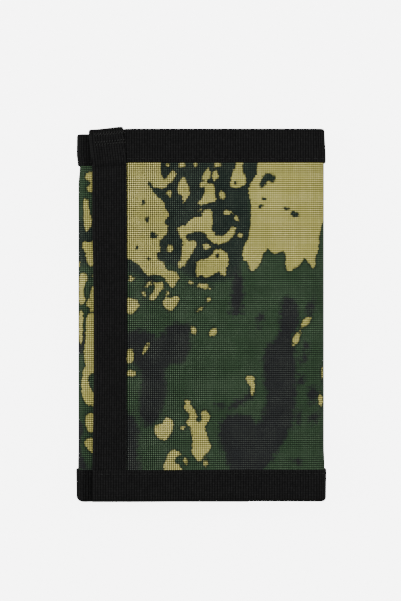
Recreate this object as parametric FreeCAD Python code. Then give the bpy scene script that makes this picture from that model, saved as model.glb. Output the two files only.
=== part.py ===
"""A trifold wallet of woven nylon, closed and lying on its back panel.

Millimetres. +Z is up, away from the surface that the wallet lies on, +Y runs along the folds
towards the open edge of the banknote compartment, and +X points at the fold that carries the
front flap. The origin is at the centre of the closed wallet's underside.

Three flat panels (back, wing, flap) are joined by two narrow spines, as on a book. The wing
folds over the back from the left and the flap folds over the wing from the right. Each panel is
a stack of thin layers, and a layer's place is its depth below the panel's outer cloth face.
"""

import FreeCAD, Part
import os

# ---- driving dimensions ----------------------------------------------------------------------
half_width = 41.25        # from the middle to the outer cloth face at a fold
half_height = 62.5        # from the middle to the outside of the ribbon on the top edge
ribbon = 0.5              # thickness of the edge ribbon
ribbon_show = 11.1        # height of the ribbon's visible leg on the top and bottom edges
edge_ribbon_show = 11.7   # width of the ribbon's visible leg on the flap's free edge
cloth = 0.6               # outer cloth
lining = 0.4              # lining cloth
gap = 0.05                # play between layers that meet at a fold

back_face = 0.5           # height of the back panel's outer cloth face
wing_face = 8.8           # height of the wing's outer cloth face
flap_face = 12.2          # height of the flap's outer cloth face
flap_edge = -36.4         # the flap's free edge
wing_edge = 16.0          # the wing's free edge

lining_depth = 1.2        # outer face of the lining, below the outer cloth face
lining_drop = 2.5         # the lining's top edge is this far below the wallet's top edge
thin_leg = 0.3            # hidden inner leg of the ribbon round the outer cloth's top edge
lining_leg = 0.2          # legs of the ribbon round the lining's top edge
lining_show = 8.0         # height of the ribbon on the lining's top edge

pocket_half_width = 33.0
pocket_mouths = (32.0, 20.0, 8.0)
pocket_pitch = 0.5        # from one pocket front to the next, in depth
pocket_trim_height = 6.0

coin_depth = 3.5          # outer side of the coin pocket's front cloth, below the wing's face
zip_height = 40.0         # the zip's line, along X
zip_left = -33.0
zip_right = wing_edge - 6.0
tooth_pitch = 1.5
tooth_length = 1.8
tooth_thick = 1.2
tape_width = 6.0
slider_length = 8.0
slider_width = 5.6
pull_length = 16.0

PANELS = {
    "back": {"face": back_face, "inward": 1, "low": -half_width, "high": half_width},
    "wing": {"face": wing_face, "inward": -1, "low": -half_width, "high": wing_edge},
    "flap": {"face": flap_face, "inward": -1, "low": flap_edge, "high": half_width},
    "right_spine": {"face": half_width, "inward": -1, "low": back_face, "high": flap_face},
    "left_spine": {"face": -half_width, "inward": 1, "low": back_face, "high": wing_face},
}
FREE_ENDS = {("flap", "low"), ("wing", "high")}
# the last layer under the bottom ribbon of each panel, as a depth
STACK_DEPTH = {"back": 3.2, "wing": 3.9, "flap": 1.7, "right_spine": 1.7, "left_spine": 1.7}


def block(x0, x1, y0, y1, z0, z1):
    corner = FreeCAD.Vector(min(x0, x1), min(y0, y1), min(z0, z1))
    return Part.makeBox(abs(x1 - x0), abs(y1 - y0), abs(z1 - z0), corner)


def join(solids):
    return solids[0].multiFuse(solids[1:]).removeSplitter() if len(solids) > 1 else solids[0]


def round_plate(x0, x1, y0, y1, z0, z1, radius):
    """A block whose four corners are rounded in the XY plane."""
    solid = block(x0, x1, y0, y1, z0, z1)
    upright = [e for e in solid.Edges if abs(e.Vertexes[0].Z - e.Vertexes[-1].Z) > 1e-6]
    return solid.makeFillet(radius, upright)


def layer(panel, y0, y1, depth0, depth1, low=None, high=None):
    """A flat layer of a panel between two depths. low and high default to the panel's ends.

    At a fold a panel's layer runs on to the outside of the same layer in the spine, and the
    spine's layer stops just short of it."""
    spec = PANELS[panel]
    spine = panel.endswith("spine")
    inset = depth1 + gap if spine else max(depth0, 0.0)
    if low is None:
        low = spec["low"] + (ribbon if (panel, "low") in FREE_ENDS else inset)
    if high is None:
        high = spec["high"] - (ribbon if (panel, "high") in FREE_ENDS else inset)
    face0 = spec["face"] + spec["inward"] * depth0
    face1 = spec["face"] + spec["inward"] * depth1
    if spine:
        return block(face0, face1, y0, y1, low, high)
    return block(low, high, y0, y1, face0, face1)


def edge_ribbon(panel, edge, side, outer, inner, show):
    """A ribbon folded round an edge that runs across the folds, at y = side * edge.

    outer and inner are the (depth0, depth1) of its two legs. side is 1 at the top edge and -1
    at the bottom edge."""
    spec = PANELS[panel]
    spine = panel.endswith("spine")
    top = side * edge
    under = side * (edge - ribbon)
    foot = side * (edge - show)
    reach = inner[1] + gap
    proud = outer[0] < 0
    insets = {
        "outer": 0.0 if proud else outer[1] + gap,
        "web": gap if proud and spine else reach,
        "inner": reach,
    }
    ends = {}
    for name, sign in (("low", 1), ("high", -1)):
        free = (panel, name) in FREE_ENDS
        ends[name] = {leg: spec[name] + (0.0 if free else sign * inset)
                      for leg, inset in insets.items()}
    low, high = ends["low"], ends["high"]
    return join([
        layer(panel, top, foot, outer[0], outer[1], low["outer"], high["outer"]),
        layer(panel, top, under, outer[0], inner[1], low["web"], high["web"]),
        layer(panel, under, foot, inner[0], inner[1], low["inner"], high["inner"]),
    ])


def outer_cloth(panel):
    return layer(panel, -half_height + ribbon, half_height - ribbon, 0.0, cloth)


def top_ribbon(panel):
    return edge_ribbon(panel, half_height, 1, (-ribbon, 0.0), (cloth, cloth + thin_leg),
                       ribbon_show)


def bottom_ribbon(panel):
    """The bottom ribbon closes every layer of its panel."""
    depth = STACK_DEPTH[panel]
    return edge_ribbon(panel, half_height, -1, (-ribbon, 0.0), (depth, depth + 0.4), ribbon_show)


def lining_sheet(panel):
    top = half_height - lining_drop - ribbon
    return layer(panel, -half_height + ribbon, top, lining_depth, lining_depth + lining)


def lining_ribbon(panel):
    """On the wing this ribbon also closes the top of the coin pocket."""
    back = lining_depth + lining
    if panel == "wing":
        back = coin_depth + lining
    inner = (back, back + lining_leg)
    outer = (lining_depth - lining_leg, lining_depth)
    return edge_ribbon(panel, half_height - lining_drop, 1, outer, inner, lining_show)


def flap_edge_ribbon():
    """The ribbon down the flap's free edge, whose end is folded over the top edge's ribbon."""
    inner = STACK_DEPTH["flap"]
    low = flap_edge
    high = flap_edge + edge_ribbon_show
    y_low = -half_height + ribbon_show + gap
    y_high = half_height - ribbon_show - gap
    legs = [
        layer("flap", y_low, y_high, -ribbon, 0.0, low, high),
        layer("flap", y_low, y_high, -ribbon, inner + 0.4, low, low + ribbon - gap),
        layer("flap", y_low, y_high, inner, inner + 0.4, low, hook_low - gap),
    ]
    tail = layer("flap", y_high - 1.0, half_height, -ribbon - 0.4, -ribbon, low, high)
    return join(legs + [tail])


def wing_edge_ribbon():
    """The ribbon down the wing's free edge. It holds the coin pocket, lining and outer cloth."""
    inner = STACK_DEPTH["wing"]
    foot = wing_edge - 8.0
    y_low = -half_height + ribbon_show + gap
    y_high = half_height - ribbon_show - gap
    return join([
        layer("wing", y_low, y_high, -ribbon, 0.0, foot, wing_edge),
        layer("wing", y_low, y_high, -ribbon, inner + 0.4, wing_edge - ribbon + gap, wing_edge),
        layer("wing", y_low, zip_height - 9.0, inner, inner + 0.4, foot, wing_edge),
    ])


def card_pocket(index):
    """The front of one card pocket. The cards stand upright, each row lower than the last."""
    depth = lining_depth + lining + 0.1 + index * pocket_pitch
    return layer("back", -half_height + ribbon, pocket_mouths[index], depth, depth + lining,
                 -pocket_half_width, pocket_half_width)


def card_pocket_trim(index):
    depth = lining_depth + 2 * lining + 0.1 + index * pocket_pitch
    mouth = pocket_mouths[index]
    return layer("back", mouth - pocket_trim_height, mouth, depth, depth + 0.3,
                 -pocket_half_width, pocket_half_width)


# ---- the flap's inner face: hook strip and identity window ------------------------------------
hook_low = -34.5
hook_high = -20.5
hook_half_height = 32.0
window_low = -17.5
window_high = 38.8
window_half_height = 46.0
window_border = 6.0


def hook_strip():
    face = lining_depth + lining
    flat = layer("flap", -hook_half_height, hook_half_height, face, face + 0.4, hook_low,
                 hook_high)
    hooks = layer("flap", -hook_half_height + 1.0, hook_half_height - 1.0, face + 0.4,
                  face + 0.7, hook_low + 1.0, hook_high - 1.0)
    return join([flat, hooks])


def loop_strip():
    """Soft loops on the wing's outer face. The hook strip comes down on them."""
    flat = layer("wing", -hook_half_height, hook_half_height, -0.4, 0.0, hook_low, hook_high)
    loops = layer("wing", -hook_half_height + 1.0, hook_half_height - 1.0, -0.8, -0.4,
                  hook_low + 1.0, hook_high - 1.0)
    return join([flat, loops])


def identity_window():
    depth = lining_depth + lining + gap
    return layer("flap", -window_half_height, window_half_height, depth, depth + 0.25,
                 window_low, window_high)


def window_frame():
    """The ribbon sewn round the window on three sides. The top stays open for the card."""
    depth = lining_depth + lining + gap + 0.25
    bottom = -window_half_height
    top = window_half_height
    ring = layer("flap", bottom, top, depth, depth + 0.25, window_low, window_high)
    opening = layer("flap", bottom + window_border, top + 1.0, depth - 1.0, depth + 1.0,
                    window_low + window_border, window_high - window_border)
    return ring.cut(opening)


# ---- the wing's inner face: coin pocket and zip -----------------------------------------------
zip_middle = coin_depth - 0.25    # depth of the teeth's middle


def coin_panel(lower):
    """The pocket's front cloth, below the zip or above it."""
    edge = tape_width / 2
    if lower:
        y0, y1 = -half_height + ribbon, zip_height - edge
    else:
        y0, y1 = zip_height + edge, half_height - lining_drop - ribbon
    return layer("wing", y0, y1, coin_depth, coin_depth + lining, -half_width + coin_depth + 1.0)


def coin_side_wall():
    """The strip that closes the pocket beside the fold."""
    low = -half_width + coin_depth + 1.0
    return layer("wing", -half_height + ribbon, half_height - lining_drop - ribbon,
                 lining_depth + lining, coin_depth, low, low + 0.5)


def zip_tape(side):
    inner_edge = zip_height + side * (tooth_length + 0.2)
    outer_edge = zip_height + side * (tape_width + 2.0)
    depth = coin_depth - 0.4
    return layer("wing", inner_edge, outer_edge, depth, depth + 0.3, zip_left - 3.0,
                 zip_right + 3.0)


def zip_teeth(side):
    """One row of teeth. Its tips stop just short of the other row's."""
    teeth = []
    shift = 0.0 if side > 0 else tooth_pitch / 2
    count = int((zip_right - zip_left) / tooth_pitch) - 1
    near = zip_height + side * 0.2
    far = zip_height + side * (0.2 + tooth_length)
    for i in range(count):
        x = zip_left + shift + i * tooth_pitch
        teeth.append(layer("wing", near, far, zip_middle - tooth_thick / 2,
                           zip_middle + tooth_thick / 2, x, x + 0.9))
    return Part.makeCompound(teeth)


def zip_end_stop(x):
    """A crimped metal stop across the ends of both rows."""
    return layer("wing", zip_height - 1.95, zip_height + 1.95, zip_middle - 0.75,
                 zip_middle + 0.75, x, x + 1.2)


# the zip is closed when its slider is at the end beside the fold
slider_middle = zip_left + slider_length / 2 + 1.4
slider_face = wing_face - (zip_middle + 1.45)    # underside of the slider's outer plate


def slider_plate(z0, z1):
    """A shield shape: wide where the rows part, narrower where they have closed."""
    half_long = slider_length / 2
    wide = slider_width / 2
    narrow = wide * 0.72
    points = [
        (-half_long, -wide), (half_long * 0.1, -wide), (half_long, -narrow),
        (half_long, narrow), (half_long * 0.1, wide), (-half_long, wide),
    ]
    corners = [FreeCAD.Vector(slider_middle + x, zip_height + y, z0) for x, y in points]
    face = Part.Face(Part.makePolygon(corners + [corners[0]]))
    solid = face.extrude(FreeCAD.Vector(0, 0, z1 - z0))
    upright = [e for e in solid.Edges if abs(e.Vertexes[0].Z - e.Vertexes[-1].Z) > 1e-6]
    return solid.makeFillet(0.6, upright)


def zip_slider():
    """Two plates joined by a thin post between the rows, with a stud that holds the pull."""
    outer = slider_plate(slider_face, slider_face + 0.5)
    inside = wing_face - zip_middle + tooth_thick / 2 + 0.15
    inner = slider_plate(inside, inside + 0.45)
    post = block(slider_middle - slider_length / 2 + 0.8, slider_middle + 1.0,
                 zip_height - 0.12, zip_height + 0.12, slider_face + 0.4, inside + 0.1)
    stud = Part.makeCylinder(0.8, 0.9, FreeCAD.Vector(slider_middle, zip_height,
                                                      slider_face - 0.85))
    cap = Part.makeCylinder(1.7, 0.25, FreeCAD.Vector(slider_middle, zip_height,
                                                      slider_face - 1.1))
    return join([outer, inner, post, stud, cap])


def zip_pull():
    """A flat tab with a ring at one end, which turns on the slider's stud."""
    z0 = slider_face - 0.72
    thick = 0.6
    ring = Part.makeCylinder(2.2, thick, FreeCAD.Vector(slider_middle, zip_height, z0))
    neck = block(slider_middle, slider_middle + 6.0, zip_height - 1.1, zip_height + 1.1, z0,
                 z0 + thick)
    tab = round_plate(slider_middle + 4.5, slider_middle + pull_length, zip_height - 2.0,
                      zip_height + 2.0, z0, z0 + thick, 1.2)
    slot = round_plate(slider_middle + 8.0, slider_middle + pull_length - 2.0,
                       zip_height - 0.9, zip_height + 0.9, z0 - 1.0, z0 + 2.0, 0.6)
    hole = Part.makeCylinder(1.1, 3.0, FreeCAD.Vector(slider_middle, zip_height, z0 - 1.0))
    return join([ring, neck, tab]).cut(slot).cut(hole)


# ---- stitches --------------------------------------------------------------------------------
def bar_tacks(panel, places, depth0, depth1, length, across):
    """Short dense bars of thread, all in one node. places are (x, y) middles."""
    half_long = length / 2
    half_thin = 0.4
    bars = []
    for x, y in places:
        along_x, along_y = (half_long, half_thin) if across else (half_thin, half_long)
        bars.append(layer(panel, y - along_y, y + along_y, depth0, depth1, x - along_x,
                          x + along_x))
    return Part.makeCompound(bars)


def pocket_tacks():
    """The tacks beside each card pocket's mouth, on the lining."""
    places = []
    for mouth in pocket_mouths:
        for x in (-pocket_half_width - 1.2, pocket_half_width + 1.2):
            places.append((x, mouth - 2.0))
    face = lining_depth + lining
    return bar_tacks("back", places, face, face + 0.35, 6.0, False)


def flap_corner_tacks():
    """Two rows of dense stitches that hold the ribbon's folded end at the flap's corner."""
    middle = flap_edge + edge_ribbon_show / 2
    places = [(middle, half_height - 2.4), (middle, half_height - ribbon_show - 0.5)]
    return bar_tacks("flap", places, -ribbon - 0.7, -ribbon - 0.4, 9.0, True)


def build_nodes():
    nodes = {}
    for panel in PANELS:
        nodes["shell_" + panel] = outer_cloth(panel)
        nodes["top_binding_" + panel] = top_ribbon(panel)
        nodes["bottom_binding_" + panel] = bottom_ribbon(panel)
        nodes["lining_" + panel] = lining_sheet(panel)
        nodes["lining_binding_" + panel] = lining_ribbon(panel)
    nodes["edge_binding_flap"] = flap_edge_ribbon()
    nodes["edge_binding_wing"] = wing_edge_ribbon()
    for i in range(len(pocket_mouths)):
        nodes["card_pocket_%d" % (i + 1)] = card_pocket(i)
        nodes["card_pocket_trim_%d" % (i + 1)] = card_pocket_trim(i)
    nodes["hook_strip"] = hook_strip()
    nodes["loop_strip"] = loop_strip()
    nodes["identity_window"] = identity_window()
    nodes["window_frame"] = window_frame()
    nodes["coin_pocket_lower_panel"] = coin_panel(True)
    nodes["coin_pocket_upper_panel"] = coin_panel(False)
    nodes["coin_pocket_side_wall"] = coin_side_wall()
    for side, name in ((1, "upper"), (-1, "lower")):
        nodes["zip_tape_" + name] = zip_tape(side)
        nodes["zip_teeth_" + name] = zip_teeth(side)
    nodes["zip_closed_stop"] = zip_end_stop(zip_left - 1.6)
    nodes["zip_open_stop"] = zip_end_stop(zip_right + 0.2)
    nodes["zip_slider"] = zip_slider()
    nodes["zip_pull"] = zip_pull()
    nodes["pocket_bar_tacks"] = pocket_tacks()
    nodes["flap_corner_tacks"] = flap_corner_tacks()
    return nodes


os.makedirs("parts", exist_ok=True)
for node_name, shape in build_nodes().items():
    if not shape.isValid() or not shape.Solids:
        raise ValueError("bad solid: " + node_name)
    shape.exportStep("parts/" + node_name + ".step")
    box = shape.BoundBox
    print("%-26s x %7.2f %7.2f  y %7.2f %7.2f  z %6.2f %6.2f" % (
        node_name, box.XMin, box.XMax, box.YMin, box.YMax, box.ZMin, box.ZMax))
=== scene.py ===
"""The looks of a trifold wallet of printed nylon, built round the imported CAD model.

Lengths in this file are millimetres until a mesh is made, in the frame of the CAD model.
"""

import math
import random

import bpy
import numpy as np
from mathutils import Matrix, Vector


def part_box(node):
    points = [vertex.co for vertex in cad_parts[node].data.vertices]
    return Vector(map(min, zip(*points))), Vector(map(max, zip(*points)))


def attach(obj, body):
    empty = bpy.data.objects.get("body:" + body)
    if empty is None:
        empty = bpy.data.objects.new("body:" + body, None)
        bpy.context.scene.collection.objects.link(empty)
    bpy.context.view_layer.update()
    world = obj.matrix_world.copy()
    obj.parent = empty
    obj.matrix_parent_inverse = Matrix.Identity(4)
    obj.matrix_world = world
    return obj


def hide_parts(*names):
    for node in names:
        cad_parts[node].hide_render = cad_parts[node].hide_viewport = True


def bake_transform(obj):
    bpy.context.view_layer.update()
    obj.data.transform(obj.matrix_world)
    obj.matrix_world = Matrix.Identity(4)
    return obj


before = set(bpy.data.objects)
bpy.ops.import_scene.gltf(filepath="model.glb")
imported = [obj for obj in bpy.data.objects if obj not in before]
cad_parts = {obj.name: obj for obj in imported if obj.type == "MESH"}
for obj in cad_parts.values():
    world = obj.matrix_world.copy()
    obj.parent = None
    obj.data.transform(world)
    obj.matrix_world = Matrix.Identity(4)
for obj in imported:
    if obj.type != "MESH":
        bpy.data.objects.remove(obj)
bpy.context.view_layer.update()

MM = 0.001
X, Y, Z = 0, 1, 2


def span(node, axis):
    """The lowest and highest value of a CAD node along an axis, in millimetres."""
    low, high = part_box(node)
    return low[axis] / MM, high[axis] / MM


def spans(node):
    return [span(node, axis) for axis in (X, Y, Z)]


# ---- places taken from the frame -------------------------------------------------------------
FOLD_X = span("shell_back", X)[1]
BACK_Z = span("shell_back", Z)[0]
FLAP_Z = span("shell_flap", Z)[1]
WING_Z = span("shell_wing", Z)[1]
FLAP_EDGE = span("top_binding_flap", X)[0]
WING_EDGE = span("top_binding_wing", X)[1]
TOP_Y = span("top_binding_flap", Y)[1]
RIBBON = span("top_binding_back", Z)[1] - span("top_binding_back", Z)[0]
RIBBON_SHOW = TOP_Y - span("top_binding_flap", Y)[0]
EDGE_SHOW = span("edge_binding_flap", X)[1] - FLAP_EDGE
RIGHT_SPINE = FLAP_Z - BACK_Z
LEFT_SPINE = WING_Z - BACK_Z
LINING_DEPTH = FLAP_Z - span("lining_flap", Z)[1]
LINING = span("lining_flap", Z)[1] - span("lining_flap", Z)[0]
LINING_TOP = span("lining_binding_flap", Y)[1]
LINING_SHOW = LINING_TOP - span("lining_binding_flap", Y)[0]
CLOTH_TOP = 62.0          # from the middle to the outer cloth's cut edge, inside the ribbons
LINING_BOTTOM = -61.5
SHEET = 0.5               # thickness of the outer cloth
WEB = 0.46                # thickness of the ribbon
OUTER_LEG = -WEB / 2 - 0.04  # depth of the middle of a ribbon's outer leg
RIB_PITCH = 0.87          # from one of the ribbon's cross ribs to the next
RIB_GRID = RIB_PITCH / 6
SEAM_PITCH = 2.4


# ---- small helpers ---------------------------------------------------------------------------
def smooth(a, b, x):
    t = np.clip((np.asarray(x, float) - a) / (b - a), 0.0, 1.0)
    return t * t * (3 - 2 * t)


def quarter_round(k):
    """How far a rounded corner falls away, k being 0 where it starts and 1 at its end."""
    return 1 - np.sqrt(1 - np.clip(k, 0, 0.999) ** 2)


def ripple(x, y, size, seed):
    """A smooth uneven surface from -1 to 1, made of a few slanted waves."""
    pick = random.Random(seed)
    total = np.zeros(np.broadcast(x, y).shape)
    for _ in range(6):
        angle = pick.uniform(0, math.pi)
        length = size * pick.uniform(0.7, 1.6)
        phase = pick.uniform(0, 2 * math.pi)
        along = x * math.cos(angle) + y * math.sin(angle)
        total = total + np.sin(2 * math.pi * along / length + phase)
    return total / 6


def ridges(run):
    """The ribbon's cross ribs at places along it, from -0.65 to 0.35."""
    return np.abs(np.sin(np.pi * run / RIB_PITCH)) ** 0.7 - 0.65


def steps(a, b, pitch):
    return np.linspace(a, b, max(2, int(round(abs(b - a) / pitch)) + 1))


def edged_steps(a, b, rim, inner, pitch):
    """Steps from a to b, with one more close to each end."""
    return np.concatenate([[a, a + rim], steps(a + inner, b - inner, pitch), [b - rim, b]])


def from_rim(x, y, x_span, y_span):
    """How far places are from the nearest side of a rectangle."""
    return np.minimum(np.minimum(x - x_span[0], x_span[1] - x),
                      np.minimum(y - y_span[0], y_span[1] - y))


def both_faces(x, y):
    """Cloth coordinates of the two faces of a sheet."""
    places = np.stack([x, y, 0 * x], axis=-1).reshape(-1, 3)
    return np.concatenate([places, places])


def add_mesh(name, points, faces, material, values=None):
    mesh = bpy.data.meshes.new(name)
    mesh.from_pydata([tuple(p) for p in np.asarray(points) * MM], [], faces)
    mesh.validate()
    for key, value in (values or {}).items():
        value = np.asarray(value, np.float32)
        if value.ndim == 2:
            data = mesh.attributes.new(key, "FLOAT_VECTOR", "POINT").data
            data.foreach_set("vector", value.ravel())
        else:
            mesh.attributes.new(key, "FLOAT", "POINT").data.foreach_set("value", value)
    mesh.polygons.foreach_set("use_smooth", [True] * len(mesh.polygons))
    obj = bpy.data.objects.new(name, mesh)
    bpy.context.scene.collection.objects.link(obj)
    mesh.materials.append(material)
    return obj


def skin(front, back):
    """Points and faces of a closed sheet between two grids of the same size."""
    rows, columns = front.shape[:2]
    index = np.arange(rows * columns).reshape(rows, columns)
    other = index + rows * columns
    faces = []
    for grid, flip in ((index, False), (other, True)):
        a, b = grid[:-1, :-1].ravel(), grid[:-1, 1:].ravel()
        c, d = grid[1:, 1:].ravel(), grid[1:, :-1].ravel()
        quads = np.stack([a, d, c, b] if flip else [a, b, c, d], axis=1)
        faces += quads.tolist()
    rims = (
        (index[0, :], other[0, :], True),
        (index[-1, :], other[-1, :], False),
        (index[:, 0], other[:, 0], False),
        (index[:, -1], other[:, -1], True),
    )
    for near, far, flip in rims:
        for i in range(len(near) - 1):
            quad = [near[i], near[i + 1], far[i + 1], far[i]]
            faces.append([int(k) for k in (quad[::-1] if flip else quad)])
    points = np.concatenate([front.reshape(-1, 3), back.reshape(-1, 3)])
    return points, faces


def slab(x, y, front, back):
    """A closed sheet over a level grid of places, between two heights."""
    return skin(np.stack([x, y, front + 0 * x], axis=-1), np.stack([x, y, back + 0 * x], axis=-1))


# ---- the folds -------------------------------------------------------------------------------
class Fold:
    """One fold corner of the wallet, with the half spine and the panel that meet there.

    A point has t, its distance from the corner along the outer face (above 0 on the panel, below
    0 on the spine), and its depth below the outer cloth face. u is the place along the one long
    strip of outer cloth, from the flap's edge round the back to the wing's edge."""

    def __init__(self, name, x, z, panel_end, u0):
        self.name, self.x, self.z, self.panel_end, self.u0 = name, x, z, panel_end, u0
        self.panel = name.split("_")[0]
        self.side = "right" if x > 0 else "left"
        self.spine = self.side + "_spine"
        self.panel_way = -1 if x > 0 else 1
        self.spine_way = 1 if z == BACK_Z else -1
        self.half_spine = (RIGHT_SPINE if x > 0 else LEFT_SPINE) / 2
        self.round, self.blend_reach = (2.6, 4.4) if x > 0 else (2.2, 3.6)
        self.free_edge = self.panel != "back"

    def place(self, t, depth):
        """x and z of points at t and depth. The corner is rounded."""
        t, depth = np.broadcast_arrays(np.asarray(t, float), np.asarray(depth, float))
        r = self.round
        turn = np.clip((t + r) / (2 * r), 0, 1) * math.pi / 2
        inner = np.maximum(r - depth, 0.12)
        arc_in = r - inner * np.cos(turn)
        arc_up = r - inner * np.sin(turn)
        from_face = np.where(t > r, t, np.where(t < -r, depth, arc_in))
        from_spine = np.where(t > r, depth, np.where(t < -r, -t, arc_up))
        return self.x + self.panel_way * from_face, self.z + self.spine_way * from_spine

    def points(self, t, y, depth):
        x, z = self.place(t, depth)
        return np.stack(np.broadcast_arrays(x, y, z), axis=-1)

    def u(self, t):
        return self.u0 - self.panel_way * self.spine_way * np.asarray(t, float)


FOLDS = {fold.name: fold for fold in (
    Fold("flap", FOLD_X, FLAP_Z, FOLD_X - FLAP_EDGE, 0.0),
    Fold("back_right", FOLD_X, BACK_Z, FOLD_X, RIGHT_SPINE),
    Fold("back_left", -FOLD_X, BACK_Z, FOLD_X, RIGHT_SPINE + 2 * FOLD_X),
    Fold("wing", -FOLD_X, WING_Z, FOLD_X + WING_EDGE, RIGHT_SPINE + 2 * FOLD_X + LEFT_SPINE),
)}

# How far each outer corner is rounded: along the edge, and up or down it.
CORNERS = {
    ("right", "top"): (1.2, 0.8),
    ("right", "bottom"): (2.2, 0.9),
    ("left", "top"): (1.3, 0.9),
    ("left", "bottom"): (4.0, 2.1),
}


def settle(fold, points):
    """Moves finished points a little, as sewing and handling leave the real edges uneven."""
    x, y, z = points[..., 0], points[..., 1], points[..., 2]
    top = smooth(25, 60, y)
    bottom = smooth(25, 60, -y)
    outward = -fold.panel_way * x
    for end, share in (("top", smooth(45, 61, y)), ("bottom", smooth(45, 61, -y))):
        along, down = CORNERS[fold.side, end]
        fall = quarter_round((outward - (FOLD_X + RIBBON - along)) / along)
        y = y - np.sign(y) * share * down * fall
    pinch = 0.3 * smooth(53, 62.5, y) - 0.2 * smooth(44, 50, -y) - 0.15
    if fold.side == "left":
        pinch = 0.45 * smooth(56, 51, y) * smooth(44, 50.4, y) - 0.12 * smooth(44, 50, -y)
    x = x + fold.panel_way * smooth(35, 41, outward) * pinch
    if fold.name == "flap":
        y = y - 0.8 * top * smooth(-22, -37, x) - bottom * 0.3 * smooth(30, -36, x)
        x = x + 0.5 * smooth(45, 8, np.abs(y + 10)) * smooth(-26, -36, x)
        z = z + 0.10 * ripple(x, y, 55, 3) * smooth(3, 12, FOLD_X - x)
    elif fold.name == "wing":
        y = y - smooth(40, 60.5, y) * 1.65 - bottom * 0.5
        z = z + 0.06 * ripple(x, y, 50, 5) * smooth(2, 10, x + FOLD_X)
    elif fold.name == "back_left":
        y = y - (smooth(40, 60.5, y) * 1.65 + bottom * 0.5) * smooth(0, -FOLD_X, x)
    if fold.side == "right":
        y = y - bottom * 0.1 * smooth(12, FOLD_X, x)
    return np.stack([x, y, z], axis=-1)


def join_to_bodies(obj, fold, node):
    """Bakes a piece's transform into its mesh and hides the two CAD nodes that it stands for."""
    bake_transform(obj)
    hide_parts(node + fold.panel, node + fold.spine)


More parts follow.
